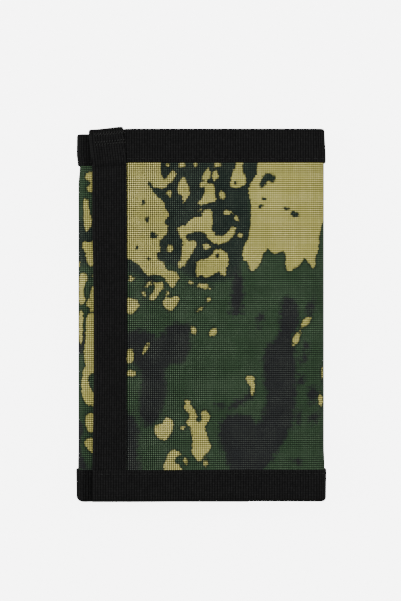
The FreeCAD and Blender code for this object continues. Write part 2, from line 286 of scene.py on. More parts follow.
# ---- the camouflage print, drawn in millimetres ----------------------------------------------
# Khaki patches on the flap: outlines in x, y as the flap lies closed.
KHAKI = [
    [(-27, 53), (-13.2, 53), (-13.6, 48.6), (-13.3, 46.5), (-12.1, 45.2), (-11.3, 45.9),
     (-10.5, 47.1), (-9.8, 48.3), (-9.1, 48.6), (-8.4, 47.6), (-8.5, 46.1), (-10.1, 44.4),
     (-11.8, 43), (-12.5, 42.5), (-14.9, 42.6), (-16, 43), (-17, 44.7), (-17.9, 44.8),
     (-17.7, 43.5), (-17, 42.2), (-15.7, 41.3), (-15.1, 39.9), (-13.7, 38.8), (-12.4, 37.7),
     (-12.1, 35.7), (-11, 34.4), (-10.7, 33), (-12, 31.8), (-12.4, 30.7),
     (-10.7, 29.8), (-11.6, 27.2), (-14.3, 24.4), (-13.3, 22), (-15.2, 20.1), (-13.9, 17.9),
     (-12, 17.5), (-11.7, 14.8), (-8.9, 14.9), (-6.9, 12.4), (-8.5, 11.2), (-8.8, 9.2),
     (-10.3, 9.6), (-11.5, 12), (-13.4, 13.4), (-15.6, 13.8), (-17.1, 13), (-18.7, 14.1),
     (-20.6, 16.8), (-22.5, 18.3), (-24.4, 18.9), (-27, 19.4)],
    [(-5.9, 46.6), (-4.4, 44), (-3.6, 41.6), (-4.6, 39), (-5.8, 37.2), (-6.1, 39.8), (-7.9, 41.4),
     (-7.2, 44.4)],
    [(-11.9, 41.7), (-9.5, 41.6), (-10.5, 38.9)],
    [(-8.2, 29.4), (-5.2, 29.7), (-4, 31.3), (-2.8, 32.6), (0.7, 33.1), (0.9, 34.4), (-1.5, 34.6),
     (-1.5, 35.3), (1.6, 35.4), (3.4, 35.4), (4.2, 31.6), (3.2, 28.6),
     (5.8, 26), (8.4, 26.8), (10.6, 29.7), (12, 29), (10.2, 25.4), (6.8, 23.6), (3.6, 24.2),
     (1.6, 27.6), (-2, 28.2), (-5.2, 26.9), (-4.4, 24.8), (-1.1, 24.7), (-2.4, 21.6), (-4, 19.2),
     (-5.4, 16.6), (-7.4, 15.6), (-7.8, 17.1), (-6.2, 19.2), (-6.3, 22.4), (-5.7, 24.8),
     (-7.2, 27)],
    [(0.4, 45.1), (1.1, 47.7), (2.7, 49.5), (3.4, 46.7), (2, 44.7)],
    [(3.7, 47.3), (5.3, 48.8), (6.1, 46.4), (4.5, 44.5)],
    [(1.6, 43.9), (4.6, 44), (4.4, 40.5), (5.5, 38.4), (2.4, 37.3), (-1.6, 36.7), (0.9, 39.3)],
    [(11.9, 52), (14.2, 52), (13.8, 48.8), (15.3, 45.6), (14.4, 43.2), (11.4, 42.5), (9.8, 43.2),
     (10.3, 46.8), (11.6, 49.4)],
    [(-1.4, 18.3), (1.8, 18.5), (4.2, 20.4), (4.6, 22), (7.2, 22), (9, 20.2), (9.3, 17.2),
     (8.3, 15.2), (8.5, 13.1), (6.9, 13.4), (6.2, 14.8), (3.2, 13.2), (1.6, 12.4), (0, 13.9),
     (-1.3, 12), (-1.5, 15)],
    [(19.2, 53), (18.9, 47), (17.2, 44.8), (15.9, 42), (16.6, 39), (17.1, 35.6), (16.6, 28.4),
     (15.8, 25), (14.1, 22.3), (14.1, 18.9), (16, 17.7),
     (16.3, 15.3), (17.2, 14.6), (19.4, 16.5), (20.3, 18.9), (21, 20.8), (22.5, 22.6),
     (24.6, 20.3), (26.6, 21.2), (28.5, 21.2), (28.6, 15.6), (29.2, 14.7), (31.6, 15.6),
     (33.5, 17.2), (34.7, 19.4), (35.7, 18.2), (37.6, 15.5), (38.3, 16.4), (38, 19.4),
     (39.5, 21.8), (39.8, 26.6), (40.8, 29.6),
     (43, 33), (47, 35), (51, 41), (49, 53)],
    [(-15.7, 10.7), (-12.3, 11), (-12.5, 8.5), (-14.1, 7.6), (-15, 5.3), (-17, 4.9), (-17.1, 6.8),
     (-15.7, 7.5), (-15.2, 9.1)],
    [(-26, 5.7), (-22.6, 5.5), (-20.8, 4.4), (-20.8, 2.4), (-23, 0.3), (-26, 1)],
    [(-13, 4.1), (-11.8, 6.2), (-10.1, 5.7), (-7.2, 6.5), (-7.5, 4.1), (-10.2, 1), (-12.3, 2.9)],
    [(-15.6, -36.9), (-13.9, -36.6), (-12.2, -35.7), (-11.5, -33.9), (-10.5, -34.9), (-9, -35.4),
     (-9.6, -39), (-11, -41.2), (-12.9, -42), (-14.6, -40.9), (-15.4, -39.5)],
    [(-5.4, -28.6), (-3.3, -28.6), (-3.8, -29.7), (-3.1, -30.6), (-1.7, -32.1), (-1.4, -33.7),
     (-1.7, -36), (-0.2, -36), (0.5, -34.7), (0.2, -32.8), (0.9, -32), (2.2, -32.1), (3.1, -34),
     (2.1, -36.1), (1.2, -37.6), (2.1, -40), (2.4, -42.4), (3.5, -43.3), (2.9, -45.2),
     (0.7, -47.6), (-0.5, -49.3), (-1.9, -47.6), (-3.2, -46), (-2.6, -43.8), (-2.9, -39.5),
     (-3.4, -37.6), (-5.1, -36.1), (-3.8, -34.5), (-3.6, -32.8), (-6, -31), (-5, -29.9)],
    [(-12.5, -54), (-12.4, -51), (-11.9, -49), (-11, -46.6), (-9.6, -44.9), (-7, -45.8),
     (-6.8, -47), (-8.6, -47.4), (-8.9, -49), (-6.1, -51.4), (-6.1, -54)],
    [(15, -20.6), (17.6, -20.3), (18, -22.7), (18, -25.4), (17.2, -27.8), (16.7, -25.6),
     (16.7, -23.7), (15.9, -22.8), (15.4, -21.8)],
]
# Small khaki flecks: x, y, half length, half width, tilt in degrees.
FLECKS = [
    (-10.3, 22.2, 1.1, 1.0, 60), (7.2, 40.2, 1.3, 0.9, 100), (8.9, 34.4, 1.2, 0.8, 0),
    (12, 32.4, 0.8, 0.6, 120), (13.2, 26.7, 0.8, 0.8, 0), (1.9, 23.1, 1.2, 0.9, 10),
    (5.6, 50.3, 1.1, 0.7, 0), (0.9, 9.7, 2.1, 0.8, -8), (2.6, 5.2, 0.7, 0.7, 0),
    (-0.2, 2.0, 0.9, 0.4, 35), (-23.3, 12.3, 0.9, 0.7, 0), (-17.5, 10.4, 1.3, 0.6, 40),
    (-19.1, 7, 0.9, 0.5, 110), (-3.4, 10.7, 0.7, 0.6, 0), (-2.3, -5.1, 1.25, 0.9, 110),
    (-18.5, -11.4, 1.5, 0.6, 65), (-23.9, -13.9, 2.3, 1.4, 85), (-23.4, -19.6, 1.5, 1.0, 0),
    (-6, -37.9, 0.7, 0.5, 20), (-5, -48.8, 0.9, 0.7, 100), (1.7, -49.5, 0.9, 0.55, 90),
    (4.1, -5.7, 1.35, 1.05, 60), (35.2, -2.4, 2.0, 0.95, 48), (32, -8, 2.2, 0.95, 62),
    (40.6, -28.5, 2.0, 1.0, 95), (41.4, -19.6, 1.6, 0.5, 90), (-1.7, 50.3, 0.7, 0.6, 0),
    (-6.3, 50.3, 1.1, 0.9, 20), (-11.1, 50.3, 0.6, 0.5, 0), (1, 43.9, 1.2, 0.7, 30),
    (-11, 7.3, 0.6, 0.6, 0),
]
# Dark specks inside the khaki.
SPECKS = [
    (-19.3, 37.7, 0.95, 0.55, 75), (-17.9, 32, 0.95, 0.55, 78), (-15.9, 26.7, 1.3, 1.0, -20),
    (-21.4, 22.6, 0.6, 0.4, 60), (-17.4, 18.9, 0.5, 0.4, 0), (11.7, 44.3, 0.6, 0.5, 0),
    (5.5, 19.8, 0.7, 0.6, 30), (21.2, 38.9, 0.6, 0.5, 0), (20.1, 36.3, 0.7, 0.6, 0),
    (28.6, 35.7, 0.9, 0.55, -15), (31.5, 33.8, 1.35, 1.0, -35),
    (21.2, 45, 2.4, 1.1, 62), (22.9, 46.2, 1.8, 1.4, -15), (24.4, 45.5, 1.1, 0.6, 80),
    (0.2, 34.6, 1.0, 0.3, 10),
]
# The dark ground behind the khaki at the flap's top.
DARK = [
    [(-15.5, 54), (19.6, 54), (19.4, 46), (15.8, 42), (17, 30), (14.4, 21), (12.6, 13), (6, 11),
     (0, 11), (-5.5, 13.5), (-8.5, 16), (-13.5, 17.5), (-16.5, 21), (-15, 25), (-11.5, 29),
     (-12.5, 36), (-18.3, 45.2), (-13.8, 44)],
    [(-26, 19.5), (-21, 18), (-18, 14), (-14, 12), (-14.5, 9.5), (-18, 11), (-21, 13.5),
     (-26, 14.5)],
]
# Soft black-purple clouds: their outlines.
CLOUDS = [
    [(27.3, 6.2), (31.6, 6), (33, -0.3), (32.7, -3.5), (30.9, -7.7), (31.5, -13), (32.3, -19.5),
     (31.9, -26.5), (31.4, -33.8), (29.6, -39.8), (25.8, -45.8), (22.4, -50.8), (19.9, -54),
     (9.6, -54), (8.8, -48.8), (6.4, -43.6), (5.9, -38.6), (7.5, -34.4), (12.4, -33), (16.5, -33.6),
     (18.2, -36.5), (19.9, -35.4), (21, -32), (22.2, -26.2), (21, -21), (20.7, -14.4), (22.6, -9.8),
     (26.4, -6.6), (26.3, -1)],
    [(-26, -6), (-21.2, -4.6), (-17.9, -5.6), (-14.5, -7.9), (-12.9, -6), (-9.5, -2.9),
     (-4.2, -2.5), (-3, -5), (-3.4, -9.6), (-4.8, -14.6), (-7.1, -16.7), (-10.2, -16.1),
     (-12.2, -18.8), (-11.4, -23.7), (-11.9, -28.7), (-13.3, -34), (-16.2, -37.4),
     (-19.3, -36.7), (-21, -32.1), (-20.4, -26.2), (-19.4, -22), (-21.4, -17), (-26, -13)],
    [(-26, -31), (-22.2, -33.8), (-20.6, -38.8), (-21.2, -45.5), (-19.4, -54), (-26, -54)],
    [(8.8, -30.9), (11.5, -28.9), (14.9, -27.3), (17.2, -24.8), (17.6, -27.7), (14, -29.9),
     (10.7, -31.9)],
    [(11, 14.4), (14.1, 13.4), (14.3, 6.5), (13.8, 1), (11.1, 0), (10, 4), (10.6, 9.1)],
]
# Small dark smudges: x, y, half length, half width, tilt in degrees.
SMUDGES = [
    (34.5, -14.3, 1.6, 0.9, 60), (33.6, -22, 1.9, 1.0, 60), (37.5, -26.8, 2.6, 1.7, 80),
    (32.9, -34.5, 2.0, 0.9, 85), (38, -34.5, 2.2, 1.3, 30), (6.7, -30.4, 1.3, 0.8, 0),
    (32.4, -49.1, 1.3, 0.9, 0), (12.2, 7.4, 7.0, 1.9, 90), (19.7, -1.4, 2.2, 1.0, 70),
    (11.8, 1.1, 2.0, 1.2, 0),
    (36.6, 2.4, 2.4, 1.2, 75), (35.4, -10.6, 1.5, 0.8, 100), (-5.2, -11.4, 2.2, 1.4, 70),
]
# Khaki on the wing beside its fold: outlines of distance from the fold and y.
STRIP_KHAKI = [
    [(3.2, 48.5), (4.2, 48.8), (6.5, 48.6), (6.5, 41.3), (3.9, 41.3), (3, 42.1), (3.1, 43.2),
     (4.1, 43.9), (4.1, 45.4), (2.9, 45.9), (2.2, 46.9), (2.4, 47.9)],
    [(1.7, 38.8), (2.3, 39.2), (3.3, 38.8), (3.5, 35.6), (4, 34.1), (4.8, 31.8), (3.9, 29.4),
     (3, 28), (2.3, 29.5), (1.6, 32.5), (1.9, 35.8)],
    [(1.6, 24.4), (2.4, 24.9), (3.2, 24.3), (6.5, 25.2), (6.5, 16.5), (4, 16.3), (2.9, 18),
     (2.6, 21), (1.2, 22.8)],
    [(-0.6, 13.4), (2.2, 14.2), (3.3, 12.4), (2.2, 10.6), (1.7, 6.5), (2.7, 5.3), (1.8, 3.8),
     (-0.6, 3.4)],
    [(4.5, 13.4), (5, 13.6), (5.3, 13), (4.8, 12.7)],
    [(4.1, 9.2), (5.4, 9.4), (5.6, 5.6), (4.7, 5.4), (4.4, 7)],
    [(3.4, 5.3), (4.6, 4.6), (5.2, 2.4), (3.6, 2.2), (2.8, 4)],
    [(-0.8, 1.2), (1.5, 1.7), (1.4, -4.4), (1.2, -8.6), (0.5, -10.2), (-0.8, -8)],
    [(3, 0.4), (6.5, 0.8), (6.5, -19.6), (4.2, -19.6), (3.4, -20.8), (3.3, -22.8), (4.2, -25),
     (5.4, -26.8), (6.5, -27.6), (6.5, -30.6), (4.8, -30.5), (3.1, -30), (1.7, -28.4),
     (0.9, -25.5), (0.9, -22.2), (1.6, -20), (1.5, -18.7), (2.8, -17.4), (1.8, -13.1), (2.6, -8),
     (2.7, -4)],
    [(2.8, -33.3), (6.5, -32.9), (6.5, -39.3), (3.7, -39.3), (2.9, -37.8), (2.5, -35)],
    [(3, -41.2), (6.5, -41.2), (6.5, -45.9), (4.2, -45.9), (3.1, -44.4), (2.1, -43), (2.3, -42.2)],
]


def rounded(outline, passes=2):
    """Cuts the corners of an outline, so that it runs in soft curves."""
    points = np.array(outline, float)
    for _ in range(passes):
        after = np.roll(points, -1, axis=0)
        points = np.stack([points * 0.78 + after * 0.22, points * 0.22 + after * 0.78], axis=1)
        points = points.reshape(-1, 2)
    return points


def inside_distance(x, y, outline):
    """How far points are inside an outline. Outside, the distance is below 0."""
    near = np.full(x.shape, 9.0)
    odd = np.zeros(x.shape, bool)
    before = np.roll(outline, 1, axis=0)
    for (ax, ay), (bx, by) in zip(before, outline):
        dx, dy = bx - ax, by - ay
        k = np.clip(((x - ax) * dx + (y - ay) * dy) / max(dx * dx + dy * dy, 1e-9), 0, 1)
        near = np.minimum(near, np.hypot(x - ax - k * dx, y - ay - k * dy))
        if ay != by:
            crosses = (ay > y) != (by > y)
            odd ^= crosses & (x < dx * (y - ay) / dy + ax)
    return np.where(odd, near, -near)


def ellipse_value(x, y, cx, cy, long_, short, tilt):
    """0 on the edge, below 0 outside, and about in millimetres near the edge."""
    a = math.radians(tilt)
    p = ((x - cx) * math.cos(a) + (y - cy) * math.sin(a)) / long_
    q = (-(x - cx) * math.sin(a) + (y - cy) * math.cos(a)) / short
    return (1 - np.hypot(p, q)) * min(long_, short)


def random_patch(pick, cx, cy, size):
    """An uneven blotch with a few lobes."""
    count = pick.randint(7, 11)
    tilt = pick.uniform(0, math.pi)
    outline = []
    for i in range(count):
        a = 2 * math.pi * i / count
        reach = size * pick.uniform(0.45, 1.25)
        px, py = reach * math.cos(a), reach * 0.6 * math.sin(a)
        outline.append((cx + px * math.cos(tilt) - py * math.sin(tilt),
                        cy + px * math.sin(tilt) + py * math.cos(tilt)))
    return outline


def print_layout():
    """Every patch of the print in cloth coordinates: u along the strip of cloth, and y."""
    def moved(outlines, by):
        return [[(x + by, y) for x, y in outline] for outline in outlines]

    flap, wing = -FOLDS["flap"].x, FOLDS["wing"].u0
    khaki = moved(KHAKI, flap) + moved(STRIP_KHAKI, wing)
    dark, clouds = moved(DARK, flap), moved(CLOUDS, flap)
    flecks, specks, smudges = ([(x + flap, *rest) for x, *rest in ellipses]
                               for ellipses in (FLECKS, SPECKS, SMUDGES))
    pick = random.Random(11)
    # The back with its spines, and the hidden part of the wing, are printed at random.
    stretches = ((9.0, wing - 2.0, 36), (wing + 8.0, wing + FOLD_X + WING_EDGE, 20))
    for low, high, patches in stretches:
        for _ in range(patches):
            u, y = pick.uniform(low, high), pick.uniform(-60, 60)
            khaki.append(random_patch(pick, u, y, pick.uniform(2.5, 9.0)))
        for _ in range(patches * 2):
            flecks.append((pick.uniform(low, high), pick.uniform(-60, 60), pick.uniform(0.8, 2.6),
                           pick.uniform(0.5, 1.1), pick.uniform(0, 180)))
        for _ in range(patches // 3):
            for outlines, least, most in ((dark, 10, 18), (clouds, 7, 15)):
                u, y = pick.uniform(low, high), pick.uniform(-60, 60)
                outlines.append(random_patch(pick, u, y, pick.uniform(least, most)))
    return khaki, flecks, specks, dark, clouds, smudges


LAYOUT = print_layout()
FAR = 3.0                 # the print's distances stop at this many millimetres


def print_values(u, y):
    """How many millimetres points of the cloth are inside each colour of the print."""
    khaki, flecks, specks, dark, clouds, smudges = LAYOUT

    def raise_near(field, middle_u, middle_y, reach, value):
        box = (np.abs(u - middle_u) < reach) & (np.abs(y - middle_y) < reach)
        if box.any():
            field[box] = np.maximum(field[box], value(u[box], y[box]))

    def cover(outlines, ellipses):
        field = np.full(u.shape, -FAR)
        for outline in outlines:
            points = rounded(outline)
            low, high = points.min(0), points.max(0)
            middle = (low + high) / 2
            reach = (high - low).max() / 2 + FAR
            raise_near(field, *middle, reach, lambda a, b: inside_distance(a, b, points))
        for shape in ellipses:
            reach = shape[2] + FAR
            raise_near(field, *shape[:2], reach, lambda a, b: ellipse_value(a, b, *shape))
        return field

    holes = cover((), specks) + 0.1
    fields = {
        "khaki": np.minimum(cover(khaki, flecks), -holes),
        "dark": np.maximum(cover(dark, ()), holes),
        "cloud": cover(clouds, smudges),
    }
    return {key: np.clip(field, -FAR, FAR) for key, field in fields.items()}


# ---- materials -------------------------------------------------------------------------------
def linear(red, green, blue):
    """A colour given as 0-255 display values, as linear light."""
    def channel(value):
        value /= 255
        return value / 12.92 if value <= 0.04045 else ((value + 0.055) / 1.055) ** 2.4
    return channel(red), channel(green), channel(blue), 1.0


KHAKI_COLOUR = linear(172, 166, 84)
# Painted highlight on the khaki thread tops, partly bare yarn.
KHAKI_BARE_AND_HIGHLIGHT = linear(238, 228, 160)
GREEN = linear(42, 64, 42)
TEAL = linear(20, 34, 30)
RIM = linear(12, 22, 20)
CLOUD = linear(32, 33, 36)
# Painted highlight on the green and dark thread tops, partly bare yarn.
THREAD_BARE_AND_HIGHLIGHT = linear(150, 165, 140)
RIBBON_BLACK = linear(17, 17, 17)
LINING_BLACK = linear(46, 47, 48)
TAPE_BLACK = linear(34, 34, 35)
TACK_BLACK = linear(42, 42, 41)
THREAD_BLACK = linear(17, 17, 17)
FILM_CLEAR = linear(246, 248, 250)
FILM_HAZE = linear(228, 232, 236)
METAL = linear(196, 192, 184)
METAL_DULL = linear(150, 146, 138)
FLOOR_GLOW = 6.0


class Graph:
    """A material and a short way to write its nodes."""

    def __init__(self, name, roughness=0.8, specular=0.2, sheen=0.0, metallic=0.0):
        self.material = bpy.data.materials.new(name)
        self.material.use_nodes = True
        self.tree = self.material.node_tree
        self.shader = self.tree.nodes["Principled BSDF"]
        self.shader.inputs["Roughness"].default_value = roughness
        self.shader.inputs["Specular IOR Level"].default_value = specular
        self.shader.inputs["Sheen Weight"].default_value = sheen
        self.shader.inputs["Sheen Roughness"].default_value = 0.5
        self.shader.inputs["Metallic"].default_value = metallic

    def put(self, socket, value):
        if isinstance(value, bpy.types.NodeSocket):
            self.tree.links.new(value, socket)
        else:
            socket.default_value = value

    def node(self, kind, output, inputs, **settings):
        """An output of a new node. inputs are its values in order, or by number or name."""
        node = self.tree.nodes.new("ShaderNode" + kind)
        for key, value in settings.items():
            setattr(node, key, value)
        for key, value in inputs.items() if isinstance(inputs, dict) else enumerate(inputs):
            self.put(node.inputs[key], value)
        return node.outputs[output]

    def surface(self, colour, roughness=None):
        self.put(self.shader.inputs["Base Color"], colour)
        if roughness is not None:
            self.put(self.shader.inputs["Roughness"], roughness)

    def bump(self, height, distance, strength):
        """Relief of a height from 0 to 1. distance is in millimetres."""
        inputs = {"Height": height, "Distance": distance * MM, "Strength": strength}
        self.put(self.shader.inputs["Normal"], self.node("Bump", 0, inputs))

    def math(self, operation, *values, clamp=False):
        return self.node("Math", 0, values, operation=operation, use_clamp=clamp)

    def add(self, a, b):
        return self.math("ADD", a, b)

    def times(self, product, *factors):
        for factor in factors:
            product = self.math("MULTIPLY", product, factor)
        return product

    def line(self, value, slope, offset):
        """value * slope + offset"""
        return self.math("MULTIPLY_ADD", value, slope, offset)

    def wave(self, value):
        """Humps from 0 to 1, one for each whole number."""
        return self.math("ABSOLUTE", self.math("SINE", self.times(value, math.pi)))

    def step(self, value, low, high, to_low=0.0, to_high=1.0):
        """to_low below low and to_high above high, with a smooth rise between them."""
        return self.node("MapRange", 0, (value, low, high, to_low, to_high),
                         interpolation_type="SMOOTHSTEP")

    def attribute(self, name, output="Fac"):
        return self.node("Attribute", output, (), attribute_name=name)

    def cloth_place(self):
        """Place on the flat cloth, its first part and its second part, in millimetres."""
        place = self.attribute("cloth", "Vector")
        return place, *(self.node("SeparateXYZ", i, (place,)) for i in (X, Y))

    def object_place(self):
        """Place on the object, in millimetres."""
        return self.scaled(self.node("TexCoord", "Object", ()), 1 / MM)

    def noise(self, vector, scale, detail=2.0, roughness=0.5):
        return self.node("TexNoise", "Fac", {"Vector": vector, "Scale": scale, "Detail": detail,
                                             "Roughness": roughness})

    def chance(self, x, y):
        """A random value for each pair of whole numbers."""
        pair = self.node("CombineXYZ", 0, (x, y))
        return self.node("TexWhiteNoise", "Value", {"Vector": pair})

    def blend(self, factor, a, b):
        """Colour a where the factor is 0, and b where it is 1."""
        return self.node("Mix", 2, {0: factor, 6: a, 7: b}, data_type="RGBA")

    def scaled(self, colour, factor):
        """A colour or place times a number."""
        colour = colour[:3] if isinstance(colour, tuple) else colour
        return self.node("VectorMath", 0, {0: colour, "Scale": factor}, operation="SCALE")


def plain_weave(g, x, y, pitch):
    """Height of a plain weave, its waves across and along, and its thread numbers."""
    a, b = g.math("DIVIDE", x, pitch), g.math("DIVIDE", y, pitch)
    column, row = g.math("FLOOR", a), g.math("FLOOR", b)
    across, along = g.wave(a), g.wave(b)
    over = g.math("MODULO", g.math("ABSOLUTE", g.add(column, row)), 2.0)
    under = g.line(over, -1.0, 1.0)
    warp = g.times(g.math("POWER", across, 0.7), g.line(along, 0.45, 0.55), over)
    weft = g.times(g.math("POWER", along, 0.7), g.line(across, 0.45, 0.55), under)
    return g.add(warp, weft), across, along, column, row


def make_camouflage():
    g = Graph("camouflage_cloth", roughness=0.78, specular=0.12, sheen=0.08)
    place, u, y = g.cloth_place()
    height, across, along, column, row = plain_weave(g, u, y, 0.70)
    # The print: noise makes the edges of each patch uneven, thread by thread.
    ragged = g.line(g.noise(place, 1.1, 3.0, 0.6), 1.0, -0.5)
    fine = g.line(g.chance(column, row), 1.0, -0.5)
    uneven = g.add(g.times(ragged, 1.3), g.times(fine, 0.35))
    khaki_place = g.add(g.attribute("khaki"), uneven)
    khaki = g.step(khaki_place, -0.28, 0.28)
    rim = g.step(khaki_place, -0.95, -0.35, 0.0, 0.55)
    dark = g.step(g.add(g.attribute("dark"), g.times(ragged, 2.5)), -1.3, 1.3)
    patchy = g.line(g.noise(place, 0.55, 4.0, 0.65), 4.5, -2.25)
    cloud = g.step(g.add(g.add(g.attribute("cloud"), patchy), fine), -1.1, 1.0)
    colour = GREEN
    for share, over in ((dark, TEAL), (cloud, CLOUD), (rim, RIM), (khaki, KHAKI_COLOUR)):
        colour = g.blend(share, colour, over)
    # Each crossing gets a painted highlight on its top, partly the bare yarn that the print misses,
    # and painted shade in the gaps round it. The upright gaps close up as the cloth nears the
    # flap's fold, where the painted highlights and painted shade grow weaker.
    closed = g.times(g.step(u, -62.0, -20.0, 0.0, 0.62), g.step(u, 0.0, 14.0, 1.0, 0.6))
    openness = g.line(closed, -0.65, 1.0)
    across = g.add(across, g.times(g.line(across, -1.0, 1.0), closed))
    cell = g.times(across, along)
    # Where the painted highlight goes: the crossing tops, partly bare yarn, stronger in random
    # patches.
    bare_yarn_and_highlight = g.times(g.step(cell, 0.55, 1.0), g.line(fine, 0.5, 1.0),
                   g.step(g.noise(place, 0.10, 3.0, 0.6), 0.35, 0.65, 0.45, 1.25))
    share = g.times(g.line(khaki, 0.43, 0.23), g.line(cloud, -0.35, 1.0), openness)
    bare_yarn_and_highlight_colour = g.blend(khaki, THREAD_BARE_AND_HIGHLIGHT, KHAKI_BARE_AND_HIGHLIGHT)
    colour = g.blend(g.math("MULTIPLY", bare_yarn_and_highlight, share, clamp=True), colour, bare_yarn_and_highlight_colour)
    middle = 0.53
    # Painted shade darkens the gaps between the threads, and painted highlight lightens the
    # crossing tops.
    shade = g.line(g.step(cell, 0.06, 0.8, -0.09 - middle, 1.76 - middle), openness, middle)
    # Painted shade in the gaps between the rows of threads.
    rows = g.step(along, 0.0, 0.45, 0.72, 1.0)
    yarn = g.line(g.chance(column, 0.0), 0.14, 0.93)
    pick = g.line(g.chance(7.5, row), 0.2, 0.9)
    worn = g.line(g.noise(place, 0.06, 3.0), 0.30, 0.85)
    # Painted light: the cloth past the flap's fold, the back, the left spine and the wing, is made
    # brighter.
    painted_light_past_fold = g.step(u, 6.0, 14.0, 1.0, 1.18)
    g.surface(g.scaled(colour, g.times(shade, rows, yarn, pick, worn, painted_light_past_fold)),
              g.step(height, 0.0, 1.0, 0.92, 0.70))
    g.bump(g.times(height, g.line(closed, -0.9, 1.0)), 0.12, 0.9)
    return g.material


def make_ribbon():
    g = Graph("ribbon", roughness=0.72, specular=0.10, sheen=0.05)
    place, along, across = g.cloth_place()
    rib, end = g.math("DIVIDE", along, RIB_PITCH), g.math("DIVIDE", across, 0.8)
    fine = g.chance(g.math("FLOOR", rib), g.math("FLOOR", end))
    height = g.times(g.math("POWER", g.wave(rib), 0.8), g.line(g.wave(end), 0.45, 0.55))
    # Painted highlight on the tops of the ribs and painted shade between them, with a random tone
    # for each rib and in patches.
    shade = g.times(g.step(height, 0.1, 0.95, 0.12, 1.62), g.line(fine, 0.5, 0.75),
                    g.line(g.noise(place, 0.12, 3.0), 0.5, 0.75))
    g.surface(g.scaled(RIBBON_BLACK, shade), g.step(height, 0.0, 1.0, 0.9, 0.62))
    g.bump(height, 0.10, 0.9)
    return g.material


def make_woven(name, colour, pitch, roughness, specular):
    """A plain dark woven cloth."""
    g = Graph(name, roughness=roughness, specular=specular, sheen=0.06)
    place, x, y = g.cloth_place()
    height, _, _, column, row = plain_weave(g, x, y, pitch)
    # Painted highlight on the thread tops and painted shade in the gaps, with a random tone for
    # each thread and in patches.
    shade = g.times(g.step(height, 0.05, 0.95, 0.5, 1.3), g.line(g.chance(column, row), 0.3, 0.85),
                    g.line(g.noise(place, 0.08, 3.0), 0.4, 0.8))
    g.surface(g.scaled(colour, shade),
              g.step(height, 0.0, 1.0, roughness + 0.1, roughness - 0.08))
    g.bump(height, 0.06, 0.8)
    return g.material


def make_thread(name, colour):
    g = Graph(name, roughness=0.6, specular=0.2, sheen=0.1)
    twist = g.noise(g.object_place(), 4.0, 2.0)
    g.surface(g.scaled(colour, g.step(twist, 0.3, 0.7, 0.7, 1.3)))
    g.bump(twist, 0.03, 0.6)
    return g.material


def make_film():
    g = Graph("clear_film", roughness=0.09, specular=0.5)
    g.shader.inputs["Transmission Weight"].default_value = 1.0
    g.shader.inputs["IOR"].default_value = 1.45
    place = g.object_place()
    haze = g.noise(place, 0.25, 4.0)
    g.surface(g.blend(haze, FILM_CLEAR, FILM_HAZE), g.step(haze, 0.3, 0.75, 0.06, 0.2))
    g.bump(g.noise(place, 0.08, 2.0), 0.35, 0.5)
    return g.material


def make_fibre(name, colour, roughness):
    """The nylon of the hooks and loops, a little uneven from one to the next."""
    g = Graph(name, roughness=roughness, specular=0.3, sheen=0.1)
    place = g.object_place()
    g.surface(g.scaled(colour, g.step(g.noise(place, 1.3, 3.0), 0.25, 0.75, 0.6, 1.5)))
    g.bump(g.noise(place, 6.0, 2.0), 0.04, 0.6)
    return g.material


def make_metal():
    g = Graph("zip_metal", roughness=0.34, specular=0.5, metallic=1.0)
    place = g.object_place()
    grain = g.noise(place, 2.2, 5.0, 0.7)
    dull = g.step(g.noise(place, 0.5, 3.0), 0.4, 0.65)
    g.surface(g.blend(dull, METAL, METAL_DULL), g.step(grain, 0.3, 0.7, 0.26, 0.48))
    g.bump(grain, 0.02, 0.5)
    return g.material


def make_floor():
    g = Graph("floor", roughness=0.9, specular=0.1)
    tone = g.noise(g.object_place(), 0.004, 2.0)
    g.surface(g.blend(tone, (0.9, 0.9, 0.9, 1), (0.93, 0.93, 0.93, 1)))
    g.shader.inputs["Emission Color"].default_value = (1, 1, 1, 1)
    g.shader.inputs["Emission Strength"].default_value = FLOOR_GLOW
    return g.material


MATERIALS = {
    "camouflage_cloth": make_camouflage(),
    "ribbon": make_ribbon(),
    "lining_cloth": make_woven("lining_cloth", LINING_BLACK, 0.42, 0.7, 0.2),
    "zip_tape": make_woven("zip_tape", TAPE_BLACK, 0.55, 0.75, 0.15),
    "hook_tape": make_fibre("hook_tape", TAPE_BLACK, 0.5),
    "loop_tape": make_fibre("loop_tape", LINING_BLACK, 0.75),
    "thread": make_thread("thread", THREAD_BLACK),
    "tack_thread": make_thread("tack_thread", TACK_BLACK),
    "clear_film": make_film(),
    "zip_metal": make_metal(),
}


# ---- threads and pieces ----------------------------------------------------------------------
def tube_faces(count, rings, sides):
    """Faces of closed tubes whose points are listed tube by tube and ring by ring."""
    faces = []
    for n in range(count):
        base = n * rings * sides
        for i in range(rings - 1):
            for j in range(sides):
                a, b = base + i * sides + j, base + i * sides + (j + 1) % sides
                faces.append([a, b, b + sides, a + sides])
        faces.append([base + j for j in range(sides)][::-1])
        faces.append([base + (rings - 1) * sides + j for j in range(sides)])
    return faces


def stitches(middles, ways, ups, length, radius):
    """Points and faces of short raised stitches, each a bent strand of thread."""
    rings, sides = 5, 6
    middles = np.asarray(middles, float)
    ways, ups = (np.broadcast_to(np.asarray(a, float), middles.shape) for a in (ways, ups))
    middle, way, up, side = (a[:, None, None, :] for a in (middles, ways, ups, np.cross(ways, ups)))
    s = np.linspace(-1, 1, rings)[:, None, None]
    turn = (np.arange(sides) * 2 * math.pi / sides)[:, None]
    width = radius * np.sqrt(np.clip(1.06 - s ** 2, 0.05, 1))
    rise = radius * (0.9 - 1.3 * s ** 2)
    points = (middle + way * (s * length / 2) + up * rise
              + side * (width * np.cos(turn)) + up * (width * np.sin(turn)))
    return points.reshape(-1, 3), tube_faces(len(middles), rings, sides)


